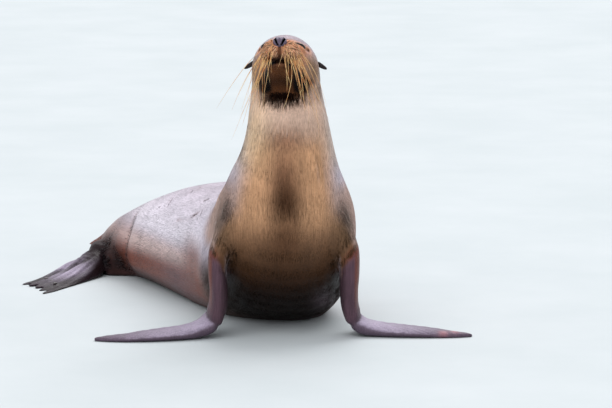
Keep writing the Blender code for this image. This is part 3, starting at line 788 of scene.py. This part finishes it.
def wet_coat(name, lift, shine, sheen):
    """Short wet hair over hide, combed flat: fine streaks along the lie, soft gloss, wrinkles where bare."""
    made, tree = material(name)
    notes = ("MarkingAndPaintedLight", "Trunk", "Bare")
    tone_with_light, trunk, bare = (add(tree, "Attribute", attribute_name=label) for label in notes)
    here = add(tree, "TexCoord").outputs["Object"]

    def combed(turn, fine):
        """Noise drawn out along the lie: down the chest, or back along the trunk."""
        laid = add(tree, "Mapping", {"Vector": here, "Rotation": turn})
        drawn = add(tree, "Mapping", {"Vector": laid.outputs[0], "Scale": fine})
        return add(tree, "TexNoise", {"Vector": drawn.outputs[0], "Scale": 1.0, "Detail": 3.0})

    def on_both(down, back):
        """The chest's pattern and the trunk's, each where it belongs."""
        inputs = {0: trunk.outputs["Fac"], 2: down.outputs["Fac"], 3: back.outputs["Fac"]}
        return add(tree, "Mix", inputs, data_type="FLOAT").outputs[0]

    def spread(value, low, high):
        """A noise's middle range, drawn out between two values."""
        return add(tree, "MapRange", {0: value, 1: 0.3, 2: 0.7, 3: low, 4: high}).outputs[0]

    # Wet hairs cling in strands about 3 mm wide and 60 mm long, in broader bands of shade.
    lean = (0.0, 0.0, math.radians(-28))
    strands = on_both(combed((0, 0, 0), (330, 330, 16)), combed(lean, (330, 16, 330)))
    bands = on_both(combed((0, 0, 0), (50, 50, 7)), combed(lean, (50, 7, 50)))
    blotches = add(tree, "TexNoise", {"Vector": here, "Scale": 14.0, "Detail": 4.0})
    folds = add(tree, "TexVoronoi", {"Vector": here, "Scale": 160.0}, feature="DISTANCE_TO_EDGE")
    strand_shade = spread(strands, 0.80, 1.16)
    band_shade = spread(bands, 0.88, 1.10)
    blotch_shade = spread(blotches.outputs["Fac"], 0.90, 1.08)
    both = add(tree, "Math", {0: strand_shade, 1: band_shade}, operation="MULTIPLY")
    shade = add(tree, "Math", {0: both.outputs[0], 1: blotch_shade}, operation="MULTIPLY")
    shaded = {0: tone_with_light.outputs["Color"], "Scale": shade.outputs[0]}
    bright = add(tree, "VectorMath", shaded, operation="SCALE")
    gloss = spread(bands, 0.32, 0.5)
    cells = add(tree, "MapRange", {0: folds.outputs["Distance"], 1: 0.0, 2: 0.25, 3: 0.0, 4: 1.0})
    heights = {0: bare.outputs["Fac"], 2: strands, 3: cells.outputs[0]}
    relief = add(tree, "Mix", heights, data_type="FLOAT").outputs[0]
    bump = add(tree, "Bump", {"Height": relief, "Strength": 0.6 * lift, "Distance": 1.0 * MM})
    surface(
        tree,
        {
            "Base Color": bright.outputs[0],
            "Roughness": gloss,
            "IOR": 1.45,
            "Specular IOR Level": shine,
            "Sheen Weight": sheen,
            "Sheen Roughness": 0.35,
            "Sheen Tint": rgba("#E8E2F0"),
            "Normal": bump.outputs[0],
        },
    )
    return made


def plain_organic(name, dark, light, scale, roughness, relief, reads_tone_and_shade=False, **more):
    """Horn, keratin, moist bare hide: two tones in a fine pattern of a real size, with its relief."""
    made, tree = material(name)
    here = add(tree, "TexCoord").outputs["Object"]
    pattern = {"Vector": here, "Scale": scale, "Detail": 4.0, "Roughness": 0.6}
    grain = add(tree, "TexNoise", pattern).outputs["Fac"]
    ramp = add(tree, "ValToRGB", {"Fac": grain})
    for stop, at, code in zip(ramp.color_ramp.elements, (0.35, 0.68), (dark, light)):
        stop.position = at
        stop.color = rgba(code)
    bump = add(tree, "Bump", {"Height": grain, "Strength": 0.5, "Distance": relief * MM})
    shade = ramp.outputs[0]
    if reads_tone_and_shade:
        tone_with_light = add(tree, "Attribute", attribute_name="MarkingAndPaintedLight").outputs["Color"]
        shade = add(tree, "VectorMath", {0: shade, 1: tone_with_light}, operation="MULTIPLY").outputs[0]
    surface(tree, {"Base Color": shade, "Roughness": roughness, "Normal": bump.outputs[0], **more})
    return made


SKIN_HIDE = wet_coat("wet hide under a short coat", 0.8, 0.14, 0.01)
BACK_HAIR = wet_coat("wet guard hair that shines", 0.12, 0.32, 0.05)
CHEST_HAIR = wet_coat("damp guard hair", 0.3, 0.08, 0.0)
NOSE_HIDE = plain_organic("moist bare nose hide", "#463A4A", "#74667C", 900, 0.4, 0.4, reads_tone_and_shade=True, IOR=1.45)
EAR_HIDE = plain_organic("thin dark ear hide", "#0E0808", "#2A1A1A", 500, 0.6, 0.4, IOR=1.3)
EYE_GLOSS = plain_organic(
    "glossy wet cornea over dark brown", "#070404", "#1C100A", 300, 0.06, 0.02, IOR=1.376
)
NAIL_HORN = plain_organic("smooth dark claw horn", "#1C1416", "#4A3C3C", 420, 0.38, 0.2, IOR=1.54)
WHISKER_KERATIN = plain_organic("golden whisker keratin", "#CC7C38", "#F8D898", 60, 0.35, 0.02, IOR=1.55)
STUDIO_FLOOR = plain_organic("matt pale studio floor", "#BEC5C8", "#C4CACD", 2.0, 0.85, 0.05)


def dress(piece, finish):
    """Gives a finished piece its material and the body it rides on."""
    piece.data.materials.clear()
    piece.data.materials.append(finish)
    only(piece)
    bpy.ops.object.shade_smooth()
    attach(piece, "root")
    return piece


# ---------------------------------------------------------------- locks of coat


def mesh_piece(name, points, faces):
    """A new object from points and triangles, joined arrays of small closed shapes."""
    mesh = bpy.data.meshes.new(name)
    mesh.vertices.add(len(points))
    mesh.vertices.foreach_set("co", flat(points))
    mesh.loops.add(faces.size)
    mesh.loops.foreach_set("vertex_index", flat(faces, np.int32))
    mesh.polygons.add(len(faces))
    mesh.polygons.foreach_set("loop_start", np.arange(0, faces.size, 3, dtype=np.int32))
    mesh.update(calc_edges=True)
    piece = bpy.data.objects.new(name, mesh)
    bpy.context.scene.collection.objects.link(piece)
    return piece


WEDGE = np.array([(0, 1, 2), (0, 3, 1), (0, 2, 3), (1, 3, 2)])
BENT_ROOT = [(0, 1, 2), (0, 4, 1), (0, 3, 4), (1, 5, 2), (1, 4, 5), (2, 3, 0), (2, 5, 3)]
BENT = np.array(BENT_ROOT + [(3, 6, 4), (4, 6, 5), (5, 6, 3)])


def coat(name, at, way, up, length, width, height, rise, tones, lie, uv, finish, settle=None, drop=0.0):
    """Solid locks, one a root: a wedge that settles on the skin, or a bent lock that drops by its weight."""
    side = np.cross(up, way)
    count = len(at)
    length, width, height, rise = (np.broadcast_to(v, count)[:, None] for v in (length, width, height, rise))
    sunk = up * 0.5 * MM
    foot = (at + side * width / 2 - sunk, at - side * width / 2 - sunk)
    if settle is None:
        half = at + way * length * 0.45 + up * rise * 0.6
        tip = at + way * length + up * rise
        tip[:, 2] -= drop * length[:, 0]
        half[:, 2] -= 0.3 * drop * length[:, 0]
        rows = (
            *foot,
            at + up * height,
            half + side * width * 0.38,
            half - side * width * 0.38,
            half + up * height * 0.8,
            tip,
        )
        shape = BENT
        shades = (0.7, 0.7, 0.8, 1.0, 1.0, 1.05, 1.25)
    else:
        rows = (*foot, settle(at + way * length * 0.4, height), settle(at + way * length, rise))
        shape = WEDGE
        shades = (0.88, 0.88, 1.0, 1.12)
    per = len(rows)
    points = np.stack(rows, axis=1).reshape(-1, 3)
    points[:, 2] = np.maximum(points[:, 2], 0.3 * MM)
    faces = (shape[None] + per * np.arange(count)[:, None, None]).reshape(-1, 3)
    piece = mesh_piece(name, points, faces)
    note(piece, "MarkingAndPaintedLight", (tones[:, None] * np.array(shades)[None, :, None]).reshape(-1, 3))
    note(piece, "Trunk", np.repeat(lie, per))
    note(piece, "Bare", np.zeros(len(points)))
    spread = np.random.default_rng(SEED).uniform(-1, 1, (per, 2)) * 1.5 * MM
    corner_uv = (uv[:, None, :] + spread[None]).reshape(-1, 2)[faces.ravel()]
    layer = piece.data.uv_layers.new(name="OFBake")
    layer.data.foreach_set("uv", flat(corner_uv))
    return dress(piece, finish)


class Hide:
    """The finished skin as arrays, from which roots of hair are drawn."""

    def __init__(self, skin):
        skin.data.calc_loop_triangles()
        sides = skin.data.loop_triangles
        self.points = points_of(skin)
        self.normals = normals_of(skin)
        self.triangles = read(sides, "vertices", 3, np.int32)
        uvs = read(skin.data.uv_layers["OFBake"].data, "uv", 2, np.float32)
        self.uvs = uvs[read(sides, "loops", 3, np.int32)]
        a, b, c = (self.points[self.triangles[:, i]] for i in range(3))
        self.areas = np.linalg.norm(np.cross(b - a, c - a), axis=1) / 2
        self.tree = BVHTree.FromPolygons(self.points.tolist(), self.triangles.tolist())

    def settle(self, places, height):
        """The nearest places on the skin, raised by a height."""
        found = [self.tree.find_nearest(p)[:2] for p in places.tolist()]
        on_skin, up = (np.array([tuple(part) for part in parts]) for parts in zip(*found))
        return on_skin + up * height

    def roots(self, weight, count, fields, seed):
        """Scatters roots by area and weight. Returns the places, normals, UVs and the fields at each."""
        chance = np.random.default_rng(seed)
        total = np.cumsum(self.areas * weight[self.triangles].mean(axis=1))
        picks = (np.arange(count) + chance.uniform(0, 1, count)) / count * total[-1]
        faces = np.searchsorted(total, picks).clip(0, len(total) - 1)
        first, second = chance.uniform(0, 1, (2, count))
        root = np.sqrt(first)
        shares = np.stack((1 - root, root * (1 - second), root * second), axis=1)[:, :, None]
        corners = self.triangles[faces]
        found = []
        for values in (self.points, self.normals) + tuple(fields):
            held = values.reshape(len(values), -1)
            found.append(np.squeeze((held[corners] * shares).sum(axis=1)))
        found[1] /= np.linalg.norm(found[1], axis=1)[:, None]
        return found, (self.uvs[faces] * shares).sum(axis=1), chance


def straight_on(way, up):
    """The lie of a hair with any lean out of the skin taken away."""
    way = way - up * np.sum(way * up, axis=1)[:, None]
    return way / np.maximum(np.linalg.norm(way, axis=1), 1e-6)[:, None]


# ---------------------------------------------------------------- build

skin = build_skin()
finish_skin(skin)
pairs = pairs_of(skin)
points = points_of(skin)
normals = normals_of(skin)
owned = OWNERS(points)
tone, bare = markings_and_painted_light(points, normals, owned, pairs)
way, lie = coat_way(points, normals, owned, pairs)
note(skin, "MarkingAndPaintedLight", tone)
note(skin, "Trunk", lie)
note(skin, "Bare", bare)
whole(skin, bpy.ops.uv.smart_project, angle_limit=math.radians(66), island_margin=0.001)
skin.data.uv_layers[0].name = "OFBake"
dress(skin, SKIN_HIDE)
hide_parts(*FLESH)

hide = Hide(skin)
left, fore, high = in_head(points)
# Where the coat grows: not on bare hide, in the armpits, in the thigh's crease, or over the eyes and lips.
furred = (1 - ease(bare, 0.25, 0.6)) * ease(points[:, 2], 0.012, 0.03)
for across in ARMPITS:
    furred *= 1 - 0.95 * near(points, (across, -0.55, 0.18), (0.03, 0.08, 0.06))
furred *= ease(off_path(points, THIGH_CREASE)[0], 0.006, 0.020)
slits = np.ones(len(points))
for side in (1, -1):
    slits *= ease(off_path(points, eye_path(side))[0], 0.010, 0.014)
slits *= ease(off_path(points, MOUTH)[0], 0.002, 0.006) * ease(off_path(points, PHILTRUM)[0], 0.002, 0.005)
on_head_part = ease(fore, -0.03, 0.01) * ease(points[:, 2], 0.61, 0.65)
rear = ease(points[:, 1], -0.40, -0.34) * (1 - on_head_part)
chest_part = (1 - rear) * (1 - on_head_part)


def lay_coat(name, weight, count, size, seed, finish, dark, stray):
    """Combs one part of the short coat. Size is each lock's length, width, height and rise in mm."""
    (at, up, how, lies, shades), uv, chance = hide.roots(weight, count, (way, lie, tone), seed)
    jitter = chance.normal(0, stray, (count, 1))
    how = straight_on(how + np.cross(up, how) * jitter, up)
    longer = chance.uniform(0.75, 1.25, count)
    shades = shades * (1 + chance.normal(0, dark, (count, 1))).clip(0.45, 1.5)
    length, width, height, rise = (value * MM for value in size)
    length, width = length * longer, width * longer
    return coat(name, at, how, up, length, width, height, rise, shades, lies, uv, finish, hide.settle)


lay_coat("coat_trunk", furred * rear, 46000, (24, 2.6, 0.12, 0.16), SEED, BACK_HAIR, 0.025, 0.04)
lay_coat("coat_chest", furred * chest_part, 46000, (32, 1.9, 0.18, 0.25), SEED + 1, CHEST_HAIR, 0.055, 0.03)
skull = furred * slits * on_head_part
lay_coat("coat_head", skull, 30000, (7.5, 1.7, 0.5, 0.8), SEED + 2, CHEST_HAIR, 0.16, 0.12)

# Wiry hair on the muzzle, and wet clumps that hang from the jaw over the throat.
muzzle_part = slits * ease(fore, 0.10, 0.125) * ease(high, -0.038, -0.031) * ease(high, 0.012, -0.002)
muzzle_part *= ease(fore, 0.192, 0.184) * ease(np.abs(left), 0.004, 0.008)
for side in (1, -1):
    muzzle_part *= ease(off_path(points, eye_path(side))[0], 0.016, 0.024)
(at, up, how, lies, shades), uv, chance = hide.roots(muzzle_part, 3200, (way, lie, tone), SEED + 3)
root_left, _, root_high = in_head(at)
outward = np.sign(root_left)[:, None] * np.array(LEFT) * 0.45
how = straight_on(how * 0.6 + outward + np.array((0, 0, -0.8)) + chance.normal(0, 0.25, at.shape), up)
shades = shades + (MUZZLE_GOLD - shades) * chance.uniform(0, 1, (len(at), 1)) ** 1.5
shades *= chance.choice((0.15, 0.6, 1.0, 1.25), (len(at), 1), p=(0.2, 0.14, 0.33, 0.33))
above_lip = ease(root_high, -0.036, -0.012)
length = chance.uniform(8, 17, len(at)) * (0.45 + 0.55 * above_lip) * MM
rise = chance.uniform(1.5, 5.0, len(at)) * MM
coat("locks_muzzle", at, how, up, length, 1.9 * MM, 0.9 * MM, rise, shades, lies, uv, CHEST_HAIR, drop=0.12)

in_axes = np.stack((left, fore, high), axis=1)
clumps = ease(np.cos(left * math.tau / 0.0054), -0.1, 0.6)
fringe_part = near(in_axes, (0, 0.052, -0.096), (0.036, 0.03, 0.006))
fringe_part += clumps * near(in_axes, (-0.004, 0.042, -0.109), (0.030, 0.05, 0.009))
(at, up, how, lies, shades), uv, chance = hide.roots(fringe_part * slits, 420, (way, lie, tone), SEED + 4)
how = straight_on(how + np.array((0, 0, -0.8)) + chance.normal(0, 0.06, at.shape), up)
shades = JAW_DARK * chance.uniform(0.5, 1.8, (len(at), 1))
length = chance.uniform(12, 32, len(at)) * MM
width, height, rise = 1.8 * MM, 0.7 * MM, 0.6 * MM
coat("locks_throat", at, how, up, length, width, height, rise, shades, lies, uv, CHEST_HAIR, hide.settle)

# ---------------------------------------------------------------- whiskers


def whiskers(name, side):
    """Long stiff tapered hairs from one pad, which arch out and hang."""
    chance = np.random.default_rng(SEED + side)
    sides, rings = 5, 13
    points = []
    faces = []
    for number, root in enumerate(whisker_roots(side)):
        back = (number % PAD_STEPS) / (PAD_STEPS - 1)
        row = number // PAD_STEPS
        if chance.uniform() < (0.30 if back < 0.3 else 0.05):
            continue
        length = (0.054 + 0.092 * back + 0.008 * row) * chance.uniform(0.7, 1.3)
        way = LEFT * side * (0.22 + 0.36 * back) + FORWARD * (0.60 - 0.35 * back)
        way += Vector((chance.normal(0, 0.15), 0, -0.6 - 0.1 * row))
        way.normalize()
        splay = side * (0.02 + 0.42 * back * chance.uniform(0.1, 1.2)) + chance.normal(0, 0.16)
        hang = Vector((splay, 0.15 * chance.uniform(-1, 1), -1.0)).normalized()
        place = root - way * 0.003
        thick = chance.uniform(0.6, 0.95) * MM
        base = len(points)
        for ring in range(rings):
            across = way.orthogonal().normalized()
            other = way.cross(across)
            radius = thick * (1 - 0.75 * (ring / (rings - 1)) ** 1.2)
            for corner in range(sides):
                turn = corner / sides * math.tau
                points.append(place + (across * math.cos(turn) + other * math.sin(turn)) * radius)
            place = place + way * (length / (rings - 1))
            way = (way * 0.80 + hang * 0.20).normalized()
        points.append(place)
        for ring in range(rings - 1):
            for corner in range(sides):
                after = (corner + 1) % sides
                a, b = base + ring * sides + corner, base + ring * sides + after
                faces += [(a, b, b + sides), (a, b + sides, a + sides)]
        last = base + (rings - 1) * sides
        faces += [(last + c, last + (c + 1) % sides, len(points) - 1) for c in range(sides)]
        faces += [(base, base + c + 1, base + c) for c in range(1, sides - 1)]
    piece = mesh_piece(name, np.array([tuple(p) for p in points]), np.array(faces))
    return dress(piece, WHISKER_KERATIN)


whiskers("whiskers_left", 1)
whiskers("whiskers_right", -1)

# ---------------------------------------------------------------- nose, ears, eyes, nails

EYE_SIZE = (0.014, 0.0062, 0.0050)
EYE_SUNK = 0.0052
CLAW_SIZE = (0.0085, 0.0045, 0.0024)

nose = copy_of(("nose_pad",), "nose")
remesh(nose, 0.8 * MM)
shape = averaged(points_of(nose), pairs_of(nose), 6, 0.5, back=KEEP_SIZE)
set_points(nose, shape)
push = np.zeros(len(shape))
pale = np.ones(len(shape))
for side in (1, -1):
    gap, _ = off_path(shape, [on_head(side * left, forward, up) for left, forward, up in NOSTRIL])
    push += 1.6 * MM * bell(gap - 0.0045, 0.0025) - 10.0 * MM * bell(gap, 0.0026)
    pale *= ease(gap, 0.0022, 0.0042)
gap, _ = off_path(shape, [on_head(0, 0.196, 0.012), on_head(0, 0.194, -0.014)])
push -= 1.8 * MM * bell(gap, 0.0014)
# Hollows are cut straight back into the muzzle, and their rims swell outward.
ways = np.where(push[:, None] < 0, np.array(FORWARD)[None], normals_of(nose))
set_points(nose, shape + ways * push[:, None])
# Painted shade: the nostril hollows are painted near black.
note(nose, "MarkingAndPaintedLight", np.tile(0.03 + 0.97 * pale[:, None], (1, 3)))
dress(nose, NOSE_HIDE)
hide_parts("nose_pad")

for side, label in ((1, "left"), (-1, "right")):
    # A furrow down its front gives the ear a rolled look.
    ear = copy_of(("ear_" + label,), "pinna_" + label)
    remesh(ear, 1.0 * MM)
    shape = averaged(points_of(ear), pairs_of(ear), 5, 0.5, back=1.0)
    set_points(ear, shape)
    shape = shape + normals_of(ear) * 1.6 * MM
    centre = middle("ear_" + label)
    root = centre - LEFT * side * 0.010 + FORWARD * 0.004
    tip = centre + LEFT * side * 0.010 - Vector((0, 0, 0.008))
    gap, _ = off_path(shape, [root + FORWARD * 0.006, tip + FORWARD * 0.003])
    set_points(ear, shape - normals_of(ear) * (1.8 * MM * bell(gap, 0.003))[:, None])
    dress(ear, EAR_HIDE)
    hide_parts("ear_" + label)
    # The eyeball lies behind the slit of the closed lids.
    slit = eye_path(side)
    front = Vector(slit[6])
    run = Vector(slit[8] - slit[3]).normalized()
    out = (front - on_head(0, 0.07, 0.0)).normalized()
    out = (out - run * out.dot(run)).normalized()
    eye = seat(ball("eyeball_" + label, 40, 20), front - out * EYE_SUNK, run, out, EYE_SIZE)
    dress(eye, EYE_GLOSS)
    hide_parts("eye_" + label)

for node in sorted(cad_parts):
    if not node.startswith("nail_"):
        continue
    # A claw narrows and bends down towards its tip.
    out = (middle(node) - middle("hind_leg_" + node.split("_")[1])).normalized()
    out.z = 0
    out.normalize()
    claw = ball(node.replace("nail", "claw"), 24, 12)
    shape = points_of(claw)
    shape[:, 1] *= 1 - 0.45 * ease(shape[:, 0], -0.2, 1.0)
    shape[:, 2] -= 0.35 * ease(shape[:, 0], 0.0, 1.0) ** 2
    set_points(claw, shape)
    seat(claw, middle(node), out, Vector((0, 0, 1)), CLAW_SIZE)
    dress(claw, NAIL_HORN)
    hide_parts(node)

# ---------------------------------------------------------------- floor, light and camera

bpy.ops.object.select_all(action="DESELECT")
bpy.ops.mesh.primitive_plane_add(size=80, location=(0, 15, 0))
floor = bpy.context.object
floor.name = "floor"
place(floor)
floor.data.materials.append(STUDIO_FLOOR)

world = bpy.data.worlds.new("studio")
bpy.context.scene.world = world
world.use_nodes = True
sky = world.node_tree.nodes["Background"].inputs
sky["Color"].default_value = (0.96, 0.975, 1.0, 1)
sky["Strength"].default_value = 0.75


def sun(location, aim, strength, width):
    """A broad soft lamp that shines along one way. Its width is an angle in degrees."""
    bpy.ops.object.light_add(type="SUN", location=location)
    lamp = bpy.context.object
    lamp.data.energy = strength
    lamp.data.angle = math.radians(width)
    lamp.rotation_euler = Vector(aim).to_track_quat("-Z", "Y").to_euler()


# One from overhead and a little behind gives the back and crown their pale wet shine.
sun((0, 1, 4), (-0.25, -0.75, -1.0), 2.0, 50)
# A weaker one from the front and above opens up the throat.
sun((-2, -5, 4), (0.35, 0.75, -0.9), 1.1, 60)

SENSOR_WIDTH = 36
FOCAL_LENGTH = 203.6
CAMERA_PLACE = (0.18646, -9.51974, 1.7134)
CAMERA_TILT = math.radians(8.7)

bpy.ops.object.camera_add()
camera = bpy.context.object
camera.data.sensor_width = SENSOR_WIDTH
camera.data.lens = FOCAL_LENGTH
camera.location = CAMERA_PLACE
camera.rotation_euler = (math.pi / 2 - CAMERA_TILT, 0, 0)
bpy.context.scene.camera = camera
bpy.context.scene.view_settings.view_transform = "Standard"
